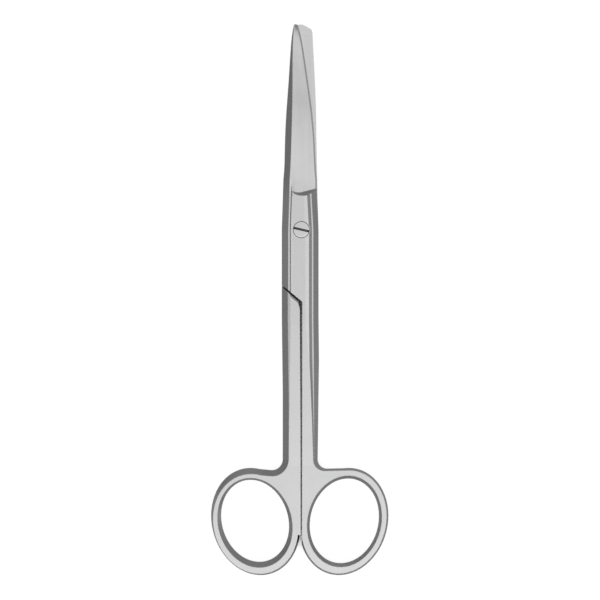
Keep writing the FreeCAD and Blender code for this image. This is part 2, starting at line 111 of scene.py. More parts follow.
class Wiring:
    """Places and links the nodes of one tree."""

    def __init__(self, tree: bpy.types.NodeTree) -> None:
        """Starts on a shader or geometry tree."""
        self.tree = tree
        self.column = 0

    def add(self, kind: str, **settings: object) -> bpy.types.Node:
        """Adds a node and sets its properties.

        Args:
            kind: The node's type name.
            settings: Properties of the node by name.

        Returns:
            The new node.
        """
        node = self.tree.nodes.new(kind)
        node.location = (self.column * NODE_SPACING, 0.0)
        self.column += 1
        for name, value in settings.items():
            setattr(node, name, value)
        return node

    def feed(self, target: bpy.types.NodeSocket, source: object) -> None:
        """Links a socket to its source, or sets its value.

        Args:
            target: The input socket.
            source: An output socket or a plain value.
        """
        if isinstance(source, bpy.types.NodeSocket):
            self.tree.links.new(source, target)
        else:
            target.default_value = source

    def math(self, operation: str, *values: object, clamp: bool = False) -> bpy.types.NodeSocket:
        """Adds a Math node.

        Args:
            operation: The operation's name.
            values: Sockets or numbers for its inputs.
            clamp: Whether the result stays between 0 and 1.

        Returns:
            The result's socket.
        """
        node = self.add("ShaderNodeMath", operation=operation, use_clamp=clamp)
        for socket, value in zip(node.inputs, values):
            self.feed(socket, value)
        return node.outputs[0]

    def vector(self, operation: str, *values: object) -> bpy.types.Node:
        """Adds a Vector Math node.

        Args:
            operation: The operation's name.
            values: Sockets or triples for its inputs.

        Returns:
            The node, whose Vector or Value output is then used.
        """
        node = self.add("ShaderNodeVectorMath", operation=operation)
        for socket, value in zip(node.inputs, values):
            self.feed(socket, value)
        return node

    def group(self, name: str) -> bpy.types.Node:
        """Adds the shader node group of that name."""
        return self.add("ShaderNodeGroup", node_tree=bpy.data.node_groups[name])

    def mix(self, kind: Mixing, share: object, first: object, second: object) -> bpy.types.NodeSocket:
        """Mixes two numbers, places or colours.

        Args:
            kind: What is mixed.
            share: How much of the second, from 0 to 1.
            first: The value at share 0.
            second: The value at share 1.

        Returns:
            The mixed value's socket.
        """
        data_type, first_input, second_input, result = kind.value
        node = self.add("ShaderNodeMix", data_type=data_type)
        self.feed(node.inputs[0], share)
        self.feed(node.inputs[first_input], first)
        self.feed(node.inputs[second_input], second)
        return node.outputs[result]

    def ramp(self, value: object, low: float, high: float) -> bpy.types.NodeSocket:
        """A smooth step from 0 at low to 1 at high.

        Args:
            value: The socket to grade.
            low: Where the step starts.
            high: Where it ends.

        Returns:
            The step's socket.
        """
        node = self.add("ShaderNodeMapRange", interpolation_type="SMOOTHSTEP")
        self.feed(node.inputs["Value"], value)
        node.inputs["From Min"].default_value = low
        node.inputs["From Max"].default_value = high
        return node.outputs[0]

    def noise(self, place: object, scale: object, detail: float) -> bpy.types.NodeSocket:
        """Adds a noise texture.

        Args:
            place: The coordinates it is read at.
            scale: Its scale.
            detail: Its octaves.

        Returns:
            The noise value's socket.
        """
        node = self.add("ShaderNodeTexNoise", noise_dimensions="3D")
        self.feed(node.inputs["Vector"], place)
        self.feed(node.inputs["Scale"], scale)
        node.inputs["Detail"].default_value = detail
        return node.outputs[0]


class GroupWiring(Wiring):
    """Places and links the nodes of one new shader node group."""

    def __init__(
        self,
        name: str,
        inputs: dict[str, tuple[str, object]],
        outputs: dict[str, str],
    ) -> None:
        """Starts a shader node group with its sockets.

        Args:
            name: The group's name.
            inputs: Each input's socket type and default value by name.
            outputs: Each output's socket type by name.
        """
        super().__init__(bpy.data.node_groups.new(name, "ShaderNodeTree"))
        for label, (kind, value) in inputs.items():
            socket = self.tree.interface.new_socket(label, in_out="INPUT", socket_type=kind)
            if value is not None:
                socket.default_value = value
        for label, kind in outputs.items():
            self.tree.interface.new_socket(label, in_out="OUTPUT", socket_type=kind)
        self.given = self.add("NodeGroupInput").outputs
        self.result = self.add("NodeGroupOutput").inputs


def grain_group() -> bpy.types.NodeTree:
    """Builds the grind marks that the satin, ground and turned finishes share.

    Returns:
        A group that turns a place in millimetres, whose second axis runs along the marks, into the
        height of the marks and a slow change of tone.
    """
    wiring = GroupWiring(
        "grind_marks",
        {
            "Place": ("NodeSocketVector", None),
            "Lines Per Millimetre": ("NodeSocketFloat", 6.0),
            "Mark Length": ("NodeSocketFloat", 5.0),
        },
        {"Height": "NodeSocketFloat", "Tone": "NodeSocketFloat"},
    )
    given = wiring.given
    split = wiring.add("ShaderNodeSeparateXYZ")
    wiring.feed(split.inputs[0], given["Place"])
    stretch = wiring.math("DIVIDE", split.outputs[1], given["Mark Length"])
    across = wiring.math("MULTIPLY", split.outputs[0], given["Lines Per Millimetre"])
    upright = wiring.math("MULTIPLY", split.outputs[2], given["Lines Per Millimetre"])
    lines = wiring.add("ShaderNodeCombineXYZ")
    for socket, part in zip(lines.inputs, (across, stretch, upright)):
        wiring.feed(socket, part)
    fine_height, broad_height, scratch_depth = 0.6, 0.4, 0.35
    fine = wiring.noise(lines.outputs[0], scale=1.0, detail=3.0)
    broad = wiring.noise(lines.outputs[0], scale=0.22, detail=2.0)
    sparse = wiring.noise(lines.outputs[0], scale=0.45, detail=1.0)
    scratches = wiring.ramp(sparse, low=0.66, high=0.72)
    fine_marks = wiring.math("MULTIPLY", fine, fine_height)
    broad_marks = wiring.math("MULTIPLY", broad, broad_height)
    marks = wiring.math("ADD", fine_marks, broad_marks)
    height = wiring.math("SUBTRACT", marks, wiring.math("MULTIPLY", scratches, scratch_depth))
    wiring.feed(wiring.result["Height"], height)
    wiring.feed(wiring.result["Tone"], broad)
    return wiring.tree


def edge_group() -> bpy.types.NodeTree:
    """Builds the softened, worn edge that every finish shares.

    Returns:
        A group that gives the surface's normal with its edges rounded over, and a mask that is 1 on
        those edges.
    """
    wiring = GroupWiring(
        "edge_wear_and_highlight",
        {"Radius": ("NodeSocketFloat", 0.1 * MM), "Gain": ("NodeSocketFloat", 3.0)},
        {"Normal": "NodeSocketVector", "Mask": "NodeSocketFloat"},
    )
    given = wiring.given
    rounded = wiring.add("ShaderNodeBevel", samples=BEVEL_SAMPLES)
    wiring.feed(rounded.inputs["Radius"], given["Radius"])
    surface = wiring.add("ShaderNodeNewGeometry")
    facing = wiring.vector("DOT_PRODUCT", rounded.outputs[0], surface.outputs["Normal"])
    turned = wiring.math("SUBTRACT", 1.0, facing.outputs["Value"])
    mask = wiring.math("MULTIPLY", turned, given["Gain"], clamp=True)
    wiring.feed(wiring.result["Normal"], rounded.outputs[0])
    wiring.feed(wiring.result["Mask"], mask)
    return wiring.tree


def crevice_group() -> bpy.types.NodeTree:
    """Builds the painted shade of gaps, slots and inner corners that every finish shares.

    Returns:
        A group whose mask is 1 where walls stand close on both sides, and 0 on open surfaces.
    """
    wiring = GroupWiring(
        "painted_crevice_shade",
        {"Reach": ("NodeSocketFloat", 2.0 * MM)},
        {"Mask": "NodeSocketFloat"},
    )
    sky = wiring.add("ShaderNodeAmbientOcclusion", samples=SHADE_SAMPLES)
    wiring.feed(sky.inputs["Distance"], wiring.given["Reach"])
    # The mask paints shade: it rises where little sky is open within the reach.
    openness = wiring.ramp(sky.outputs["AO"], low=0.28, high=0.72)
    wiring.feed(wiring.result["Mask"], wiring.math("SUBTRACT", 1.0, openness))
    return wiring.tree


def handling_group() -> bpy.types.NodeTree:
    """Builds the faint marks of cloths, trays and fingers that every finish shares.

    Returns:
        A group that gives a slow cloudy mask and a mask of small light rub marks.
    """
    wiring = GroupWiring(
        "handling_marks",
        {"Place": ("NodeSocketVector", None), "Cloud Size": ("NodeSocketFloat", 9.0)},
        {"Clouds": "NodeSocketFloat", "Rubs": "NodeSocketFloat"},
    )
    given = wiring.given
    rubs_across_cloud = 6.0
    cloud_scale = wiring.math("DIVIDE", 1.0, given["Cloud Size"])
    rub_scale = wiring.math("MULTIPLY", cloud_scale, rubs_across_cloud)
    clouds = wiring.noise(given["Place"], cloud_scale, detail=3.0)
    rubs = wiring.noise(given["Place"], rub_scale, detail=2.0)
    wiring.feed(wiring.result["Clouds"], wiring.ramp(clouds, low=0.35, high=0.7))
    wiring.feed(wiring.result["Rubs"], wiring.ramp(rubs, low=0.6, high=0.75))
    return wiring.tree


def ring_turn_group() -> bpy.types.NodeTree:
    """Builds the change from straight grain on the shank to grain that follows the ring.

    Returns:
        A group that gives the place to read the grain at: across, along and up, in millimetres.
    """
    turn_length = 6.0
    wiring = GroupWiring(
        "grain_path",
        {
            "Place": ("NodeSocketVector", None),
            "Ring Centre": ("NodeSocketVector", None),
            "Ring Radius": ("NodeSocketFloat", 13.0),
            "Ring Starts": ("NodeSocketFloat", -80.0),
        },
        {"Path": "NodeSocketVector"},
    )
    given = wiring.given
    split = wiring.add("ShaderNodeSeparateXYZ")
    wiring.feed(split.inputs[0], given["Place"])
    arm = wiring.add("ShaderNodeSeparateXYZ")
    from_centre = wiring.vector("SUBTRACT", given["Place"], given["Ring Centre"])
    wiring.feed(arm.inputs[0], from_centre.outputs[0])
    flat_arm = wiring.add("ShaderNodeCombineXYZ")
    wiring.feed(flat_arm.inputs[0], arm.outputs[0])
    wiring.feed(flat_arm.inputs[1], arm.outputs[1])
    reach = wiring.vector("LENGTH", flat_arm.outputs[0]).outputs["Value"]
    turn = wiring.math("ARCTAN2", arm.outputs[0], arm.outputs[1])
    round_path = wiring.add("ShaderNodeCombineXYZ")
    wiring.feed(round_path.inputs[0], reach)
    wiring.feed(round_path.inputs[1], wiring.math("MULTIPLY", turn, given["Ring Radius"]))
    wiring.feed(round_path.inputs[2], split.outputs[2])
    below = wiring.math("SUBTRACT", given["Ring Starts"], split.outputs[1])
    share = wiring.ramp(below, 0.0, turn_length)
    path = wiring.mix(Mixing.PLACE, share, given["Place"], round_path.outputs[0])
    wiring.feed(wiring.result["Path"], path)
    return wiring.tree


@dataclass(frozen=True)
class SteelFinish:
    """One way that stainless steel is finished. The grain's own sizes are in millimetres."""

    name: str
    colour: tuple[float, float, float] = (0.63, 0.63, 0.635)
    dull_colour: tuple[float, float, float] = (0.57, 0.57, 0.575)
    # The paler colour of the edges is a painted highlight.
    edge_highlight_colour: tuple[float, float, float] = (0.68, 0.68, 0.68)
    roughness: float = 0.25
    roughness_swing: float = 0.08
    worn_roughness: float = 0.2
    grain: Grain = Grain.ALONG
    lines_per_mm: float = 6.0
    mark_length: float = 5.0
    grain_depth: float = 0.0025 * MM
    grain_strength: float = 0.35
    edge_radius: float = 0.35 * MM
    # The near-black colour of the painted shade in gaps, slots and inner corners.
    painted_shade_colour: tuple[float, float, float] = (0.02, 0.02, 0.021)
    # How far clouds and grain dull the colour, and clouds and rubs swing the roughness.
    cloud_tone: float = 0.35
    grain_tone: float = 0.5
    cloud_swing: float = 0.4
    rub_swing: float = -0.3
    # The angle of grain across a blade, and the radius and upper end of grain round the screw.
    cross_grain_angle: float = 84.0
    turned_radius: float = 1.5
    turned_below: float = 100.0

    def build(self, ring_centre: tuple[float, float, float] | None = None) -> bpy.types.Material:
        """Makes the material.

        Args:
            ring_centre: The middle of the finger ring in millimetres, for grain that follows it.

        Returns:
            The material.
        """
        material = bpy.data.materials.new(self.name)
        material.use_nodes = True
        material.node_tree.nodes.clear()
        wiring = Wiring(material.node_tree)
        place = self.place(wiring)
        path = self.path(wiring, place, ring_centre)

        grain = wiring.group("grind_marks")
        wiring.feed(grain.inputs["Place"], path)
        grain.inputs["Lines Per Millimetre"].default_value = self.lines_per_mm
        grain.inputs["Mark Length"].default_value = self.mark_length
        edge = wiring.group("edge_wear_and_highlight")
        edge.inputs["Radius"].default_value = self.edge_radius
        marks = wiring.group("handling_marks")
        wiring.feed(marks.inputs["Place"], place)

        bump = wiring.add("ShaderNodeBump")
        bump.inputs["Strength"].default_value = self.grain_strength
        bump.inputs["Distance"].default_value = self.grain_depth
        wiring.feed(bump.inputs["Height"], grain.outputs["Height"])
        wiring.feed(bump.inputs["Normal"], edge.outputs["Normal"])

        shader = wiring.add("ShaderNodeBsdfPrincipled")
        shader.inputs["Metallic"].default_value = 1.0
        wiring.feed(shader.inputs["Base Color"], self.tone(wiring, grain, edge, marks))
        wiring.feed(shader.inputs["Roughness"], self.gloss(wiring, grain, edge, marks))
        wiring.feed(shader.inputs["Normal"], bump.outputs[0])
        surface = wiring.add("ShaderNodeOutputMaterial")
        wiring.feed(surface.inputs["Surface"], shader.outputs[0])
        return material

    def tone(
        self,
        wiring: Wiring,
        grain: bpy.types.Node,
        edge: bpy.types.Node,
        marks: bpy.types.Node,
    ) -> bpy.types.NodeSocket:
        """The steel's colour: duller in clouds, paler on edges as a painted highlight, and darkened
        in gaps as painted shade.

        Args:
            wiring: The material's wiring.
            grain: The grind marks.
            edge: The softened edge, whose mask sets the painted highlight.
            marks: The handling marks.

        Returns:
            The colour's socket.
        """
        cloudy = wiring.math("MULTIPLY", marks.outputs["Clouds"], self.cloud_tone)
        lined = wiring.math("MULTIPLY", grain.outputs["Tone"], self.grain_tone)
        dulled = wiring.math("ADD", cloudy, lined, clamp=True)
        body = wiring.mix(Mixing.COLOUR, dulled, (*self.colour, 1.0), (*self.dull_colour, 1.0))
        # Painted highlight: the edges get a paler colour.
        edge_highlighted = wiring.mix(Mixing.COLOUR, edge.outputs["Mask"], body, (*self.edge_highlight_colour, 1.0))
        # Painted shade: gaps, slots and inner corners fade to near-black where little sky is open.
        crevice = wiring.group("painted_crevice_shade")
        dark = (*self.painted_shade_colour, 1.0)
        return wiring.mix(Mixing.COLOUR, crevice.outputs["Mask"], edge_highlighted, dark)

    def gloss(
        self,
        wiring: Wiring,
        grain: bpy.types.Node,
        edge: bpy.types.Node,
        marks: bpy.types.Node,
    ) -> bpy.types.NodeSocket:
        """The steel's roughness: it follows the grain, clouds and rubs, and settles on worn edges.

        Args:
            wiring: The material's wiring.
            grain: The grind marks.
            edge: The worn edge.
            marks: The handling marks.

        Returns:
            The roughness's socket.
        """
        about_middle = wiring.math("SUBTRACT", grain.outputs["Tone"], MIDDLE_TONE)
        swing = wiring.math("MULTIPLY", about_middle, self.roughness_swing)
        cloud_share = self.roughness_swing * self.cloud_swing
        rub_share = self.roughness_swing * self.rub_swing
        cloudy = wiring.math("MULTIPLY", marks.outputs["Clouds"], cloud_share)
        rubbed = wiring.math("MULTIPLY", marks.outputs["Rubs"], rub_share)
        grained = wiring.math("ADD", swing, cloudy)
        handled = wiring.math("ADD", rubbed, self.roughness)
        rough = wiring.math("ADD", grained, handled)
        return wiring.mix(Mixing.NUMBER, edge.outputs["Mask"], rough, self.worn_roughness)

    def place(self, wiring: Wiring) -> bpy.types.NodeSocket:
        """The socket of the object coordinates in millimetres."""
        coordinates = wiring.add("ShaderNodeTexCoord")
        return wiring.vector("MULTIPLY", coordinates.outputs["Object"], (1 / MM,) * 3).outputs[0]

    def path(
        self,
        wiring: Wiring,
        place: bpy.types.NodeSocket,
        ring_centre: tuple[float, float, float] | None,
    ) -> bpy.types.NodeSocket:
        """The coordinates that the grain is read at.

        Args:
            wiring: The material's wiring.
            place: Object coordinates in millimetres.
            ring_centre: The middle of the finger ring, if the forging has one here.

        Returns:
            A socket whose second axis runs along the grain.
        """
        if self.grain is Grain.ACROSS:
            turned = wiring.add("ShaderNodeMapping")
            wiring.feed(turned.inputs["Vector"], place)
            angle = math.radians(self.cross_grain_angle)
            turned.inputs["Rotation"].default_value = (0.0, 0.0, angle)
            return turned.outputs[0]
        if self.grain is Grain.ALONG and ring_centre is None:
            return place
        follow = wiring.group("grain_path")
        wiring.feed(follow.inputs["Place"], place)
        if self.grain is Grain.TURNED:
            follow.inputs["Ring Centre"].default_value = (0.0, 0.0, 0.0)
            follow.inputs["Ring Radius"].default_value = self.turned_radius
            follow.inputs["Ring Starts"].default_value = self.turned_below
        else:
            follow.inputs["Ring Centre"].default_value = ring_centre
        return follow.outputs[0]


SATIN = SteelFinish("satin_steel")
GROUND = SteelFinish(
    "ground_blade_face",
    colour=(0.64, 0.64, 0.645),
    dull_colour=(0.59, 0.59, 0.595),
    roughness=0.24,
    grain=Grain.ACROSS,
    lines_per_mm=9.0,
    mark_length=3.0,
    grain_strength=0.5,
    edge_radius=0.12 * MM,
)
HONED = SteelFinish(
    "honed_edge",
    colour=(0.58, 0.58, 0.585),
    dull_colour=(0.53, 0.53, 0.535),
    edge_highlight_colour=(0.62, 0.62, 0.62),
    roughness=0.2,
    lines_per_mm=14.0,
    mark_length=8.0,
    grain_strength=0.2,
    edge_radius=0.04 * MM,
)
TURNED = SteelFinish(
    "turned_screw",
    colour=(0.64, 0.64, 0.645),
    roughness=0.27,
    grain=Grain.TURNED,
    lines_per_mm=7.0,
    mark_length=3.0,
    grain_strength=0.5,
    edge_radius=0.07 * MM,
)
# The slot's dark steel is painted shade in the narrow slot; its paler lips are a painted highlight.
PAINTED_SLOT_SHADE = SteelFinish(
    "slot_painted_shade",
    colour=(0.2, 0.2, 0.205),
    dull_colour=(0.12, 0.12, 0.125),
    edge_highlight_colour=(0.5, 0.5, 0.5),
    roughness=0.42,
    lines_per_mm=8.0,
    mark_length=2.0,
    edge_radius=0.04 * MM,
)


def solid_of_revolution(
    name: str,
    profile: list[tuple[float, float]],
    segments: int,
) -> bpy.types.Object:
    """Turns a half section about the Z axis.

    Args:
        name: The new piece's name.
        profile: Radius and height of each corner. Both ends lie on the axis.
        segments: Steps in one turn.

    Returns:
        The closed piece.
    """
    form = bmesh.new()
    rows: list[list[bmesh.types.BMVert]] = []
    turns = [2 * math.pi * step / segments for step in range(segments)]
    for radius, height in profile:
        if radius == 0.0:
            rows.append([form.verts.new((0.0, 0.0, height))])
            continue
        corners = [(radius * math.cos(turn), radius * math.sin(turn), height) for turn in turns]
        rows.append([form.verts.new(corner) for corner in corners])
    for lower, upper in zip(rows, rows[1:]):
        for step in range(segments):
            following = (step + 1) % segments
            if len(lower) == 1:
                form.faces.new((lower[0], upper[following], upper[step]))
            elif len(upper) == 1:
                form.faces.new((lower[step], lower[following], upper[0]))
            else:
                form.faces.new((lower[step], lower[following], upper[following], upper[step]))
    bmesh.ops.recalc_face_normals(form, faces=form.faces)
    mesh = bpy.data.meshes.new(name)
    form.to_mesh(mesh)
    form.free()
    piece = bpy.data.objects.new(name, mesh)
    bpy.context.scene.collection.objects.link(piece)
    return piece


def bake_modifiers(piece: bpy.types.Object) -> None:
    """Turns a piece's modifiers into its own plain mesh.

    Args:
        piece: The piece.
    """
    seen = piece.evaluated_get(bpy.context.evaluated_depsgraph_get())
    mesh = bpy.data.meshes.new_from_object(seen)
    piece.modifiers.clear()
    piece.data = mesh
    mesh.name = piece.name


def shade_by_angle(piece: bpy.types.Object, limit: float) -> None:
    """Shades a piece smooth, apart from the edges sharper than a limit.

    Args:
        piece: The piece.
        limit: The limit in degrees.
    """
    form = bmesh.new()
    form.from_mesh(piece.data)
    for face in form.faces:
        face.smooth = True
    for edge in form.edges:
        edge.smooth = len(edge.link_faces) == 2 and edge.calc_face_angle() < math.radians(limit)
    form.to_mesh(piece.data)
    form.free()


def outward(mesh: bpy.types.Mesh) -> None:
    """Merges a mesh's doubles and points its faces outwards.

    Args:
        mesh: The mesh.
    """
    form = bmesh.new()
    form.from_mesh(mesh)
    bmesh.ops.remove_doubles(form, verts=form.verts, dist=WELD_DISTANCE)
    bmesh.ops.recalc_face_normals(form, faces=form.faces)
    form.to_mesh(mesh)
    form.free()


def ring_middle(mount_name: str) -> tuple[float, float, float]:
    """The middle of a finger ring, where the record puts the ring's mount.

    Args:
        mount_name: The mount's name.

    Returns:
        The place in millimetres.
    """
    mounts = {mount["name"]: mount for mount in frame["record"]["mounts"]}
    across, along, up = mounts[mount_name]["pos_m"]
    return across / MM, along / MM, up / MM


@dataclass
class Forging:
    """One half of the scissors: blade, lap, shank and ring in one closed forging."""

    node: str
    spine_side: float
    inner_side: float
    ring_centre: tuple[float, float, float]
    heel_y: float = 11.4 * MM
    parting_z: float = 2.5 * MM
    hone_height: float = 0.5 * MM
    inner_reach: float = 0.3 * MM
    # How squarely a face looks inwards to count as ground, and sideways to count as honed.
    flat_limit: float = 0.9
    side_limit: float = 0.3

    def finish_of(self, face: bpy.types.MeshPolygon, corners: list[Vector]) -> Finish:
        """Chooses the finish of one face.

        Args:
            face: The face.
            corners: Its corners.

        Returns:
            Ground on the inner faces of blade and lap, honed along the cutting edge, else satin.
        """
        depth = max(abs(corner.z - self.parting_z) for corner in corners)
        if face.normal.z * self.inner_side > self.flat_limit and depth < self.inner_reach:
            return Finish.GROUND
        along_blade = min(corner.y for corner in corners) > self.heel_y
        faces_edge = face.normal.x * -self.spine_side > self.side_limit
        if along_blade and faces_edge and depth < self.hone_height:
            return Finish.HONED
        return Finish.SATIN

    def dress(self) -> None:
        """Gives every face of the forging its finish."""
        piece = frame["nodes"][self.node]
        mesh = piece.data
        mesh.materials.clear()
        for finish in (SATIN, GROUND, HONED):
            mesh.materials.append(finish.build(self.ring_centre))
        counts = dict.fromkeys(Finish, 0)
        for face in mesh.polygons:
            corners = [mesh.vertices[index].co for index in face.vertices]
            chosen = self.finish_of(face, corners)
            face.material_index = chosen.value
            counts[chosen] += 1
        report = {finish.name.lower(): count for finish, count in counts.items()}
        log.info("%s: %s", self.node, report)


@dataclass
class PivotScrew:
    """The slotted pivot screw, turned from bar, with a rolled thread below its plain shoulder."""

    node: str = "pivot_screw"
    body: str = "blunt_side"
    slot_name: str = "screw_steel"
    top: float = field(init=False)
    head_radius: float = field(init=False)
    head_height: float = 1.3 * MM
    head_chamfer: float = 0.12 * MM
    rim_in: float = 0.3
    rim_down: float = 0.35
    crown: float = 0.03 * MM
    crown_shares: tuple[float, ...] = (0.85, 0.6, 0.35, 0.15)
    shoulder_radius: float = 1.7 * MM
    shoulder_end: float = 2.475 * MM
    core_radius: float = 1.24 * MM
    crest_radius: float = 1.48 * MM
    end_chamfer: float = 0.14 * MM
    pitch: float = 0.5 * MM
    slot_width: float = 0.75 * MM
    slot_depth: float = 0.7 * MM
    slot_angle: float = -13.0
    segments: int = 96
    smooth_limit: float = 30.0
    ridge_corners: int = 4
    steps_per_turn: int = 48

    def __post_init__(self) -> None:
        """Takes the screw's top and the head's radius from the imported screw."""
        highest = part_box(self.node)[1]
        self.head_radius, self.top = highest[0], highest[2]

    def build(self) -> None:
        """Builds the screw and its thread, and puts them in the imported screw's place."""
        # The second material paints shade into the slot.
        turned, painted_slot = TURNED.build(), PAINTED_SLOT_SHADE.build()
        blank = self.turn_blank(turned, painted_slot)
        thread = self.roll_thread(turned)
        for piece in (blank, thread):
            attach(piece, self.body)
            log.info("%s: %d faces", piece.name, len(piece.data.polygons))
        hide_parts(self.node)

    def profile(self) -> list[tuple[float, float]]:
        """The screw's half section.

        Returns:
            Radius and height of each corner, from the filed end up to the middle of the head.
        """
        under_head = self.top - self.head_height
        rim = self.top - self.crown
        crown = [
            (self.head_radius * share, self.top - self.crown * share * share)
            for share in self.crown_shares
        ]
        return [
            (0.0, 0.0),
            (self.crest_radius - self.end_chamfer, 0.0),
            (self.core_radius, self.crest_radius - self.core_radius),
            (self.core_radius, self.shoulder_end - self.end_chamfer),
            (self.crest_radius, self.shoulder_end),
            (self.shoulder_radius, self.shoulder_end),
            (self.shoulder_radius, under_head),
            (self.head_radius, under_head),
            (self.head_radius, rim - self.head_chamfer),
            (
                self.head_radius - self.head_chamfer * self.rim_in,
                rim - self.head_chamfer * self.rim_down,
            ),
            (self.head_radius - self.head_chamfer, rim),
            *crown,
            (0.0, self.top),
        ]

    def turn_blank(self, *finishes: bpy.types.Material) -> bpy.types.Object:
        """Turns the screw and cuts its slot.

        Args:
            finishes: The finish of the turned faces, and the slot's dark material, which is painted
                shade.

        Returns:
            The screw without its thread.
        """
        blank = solid_of_revolution("screw_blank", self.profile(), self.segments)
        cutter = self.slot_cutter()
        for piece in (blank, cutter):
            for finish in finishes:
                piece.data.materials.append(finish)
        cut = blank.modifiers.new("slot", "BOOLEAN")
        cut.operation = "DIFFERENCE"
        cut.object = cutter
        cut.solver = "EXACT"
        bake_modifiers(blank)
        bpy.data.objects.remove(cutter)
        shade_by_angle(blank, self.smooth_limit)
        return blank

    def slot_cutter(self) -> bpy.types.Object:
        """Makes the bar that the slot is cut with.

        Returns:
            The bar, whose faces all carry the second material, the slot's painted shade.
        """
        low, high = self.top - self.slot_depth, self.top + self.slot_depth
        size = (4 * self.head_radius, self.slot_width, high - low)
        form = bmesh.new()
        bmesh.ops.create_cube(form, size=1.0)
        bmesh.ops.scale(form, vec=size, verts=form.verts)
        bmesh.ops.translate(form, vec=(0.0, 0.0, (high + low) / 2), verts=form.verts)
        turn = Matrix.Rotation(math.radians(self.slot_angle), 4, "Z")
        bmesh.ops.transform(form, matrix=turn, verts=form.verts)
        for face in form.faces:
            face.material_index = 1
        mesh = bpy.data.meshes.new("slot_cutter")
        form.to_mesh(mesh)
        form.free()
        cutter = bpy.data.objects.new("slot_cutter", mesh)
        bpy.context.scene.collection.objects.link(cutter)
        return cutter

    def thread_tree(self) -> bpy.types.NodeTree:
        """Builds the Geometry Nodes tree that sweeps a small ridge along a helix.

        Returns:
            The tree, with the thread's sizes and finish as named inputs.
        """
        tree = bpy.data.node_groups.new("rolled_thread", "GeometryNodeTree")
        tree.interface.new_socket("Geometry", in_out="INPUT", socket_type="NodeSocketGeometry")
        tree.interface.new_socket("Geometry", in_out="OUTPUT", socket_type="NodeSocketGeometry")
        for label, kind in (
            ("Core Radius", "NodeSocketFloat"),
            ("Ridge Radius", "NodeSocketFloat"),
            ("Length", "NodeSocketFloat"),
            ("Start", "NodeSocketFloat"),
            ("Turns", "NodeSocketFloat"),
            ("Steps Per Turn", "NodeSocketInt"),
            ("Finish", "NodeSocketMaterial"),
        ):
            tree.interface.new_socket(label, in_out="INPUT", socket_type=kind)
        wiring = Wiring(tree)
        given = wiring.add("NodeGroupInput").outputs
        path = wiring.add("GeometryNodeCurveSpiral")
        wiring.feed(path.inputs["Resolution"], given["Steps Per Turn"])
        wiring.feed(path.inputs["Rotations"], given["Turns"])
        wiring.feed(path.inputs["Start Radius"], given["Core Radius"])
        wiring.feed(path.inputs["End Radius"], given["Core Radius"])
        wiring.feed(path.inputs["Height"], given["Length"])
        ridge = wiring.add("GeometryNodeCurvePrimitiveCircle", mode="RADIUS")
        ridge.inputs["Resolution"].default_value = self.ridge_corners
        wiring.feed(ridge.inputs["Radius"], given["Ridge Radius"])
        sweep = wiring.add("GeometryNodeCurveToMesh")
        wiring.feed(sweep.inputs["Curve"], path.outputs[0])
        wiring.feed(sweep.inputs["Profile Curve"], ridge.outputs[0])
        sweep.inputs["Fill Caps"].default_value = True
        lift = wiring.add("ShaderNodeCombineXYZ")
        wiring.feed(lift.inputs[2], given["Start"])
        placed = wiring.add("GeometryNodeTransform")
        wiring.feed(placed.inputs["Geometry"], sweep.outputs[0])
        wiring.feed(placed.inputs["Translation"], lift.outputs[0])
        real = wiring.add("GeometryNodeRealizeInstances")
        wiring.feed(real.inputs[0], placed.outputs[0])
        finish = wiring.add("GeometryNodeSetMaterial")
        wiring.feed(finish.inputs["Geometry"], real.outputs[0])
        wiring.feed(finish.inputs["Material"], given["Finish"])
        wiring.feed(wiring.add("NodeGroupOutput").inputs[0], finish.outputs[0])
        return tree

    def roll_thread(self, turned: bpy.types.Material) -> bpy.types.Object:
        """Grows the thread's ridge round the core with Geometry Nodes.

        Args:
            turned: The finish of the thread.

        Returns:
            The thread as a plain mesh.
        """
        tree = self.thread_tree()
        ridge_radius = self.crest_radius - self.core_radius
        start = ridge_radius + ridge_radius / 2
        length = self.shoulder_end - self.end_chamfer - ridge_radius - start
        values = {
            "Core Radius": self.core_radius,
            "Ridge Radius": ridge_radius,
            "Length": length,
            "Start": start,
            "Turns": length / self.pitch,
            "Steps Per Turn": self.steps_per_turn,
            "Finish": turned,
        }
        thread = bpy.data.objects.new("screw_thread", bpy.data.meshes.new("screw_thread"))
        bpy.context.scene.collection.objects.link(thread)
        grow = thread.modifiers.new("thread", "NODES")
        grow.node_group = tree
        for item in tree.interface.items_tree:
            if item.in_out == "INPUT" and item.name in values:
                grow[item.identifier] = values[item.name]
        bake_modifiers(thread)
        outward(thread.data)
        return thread


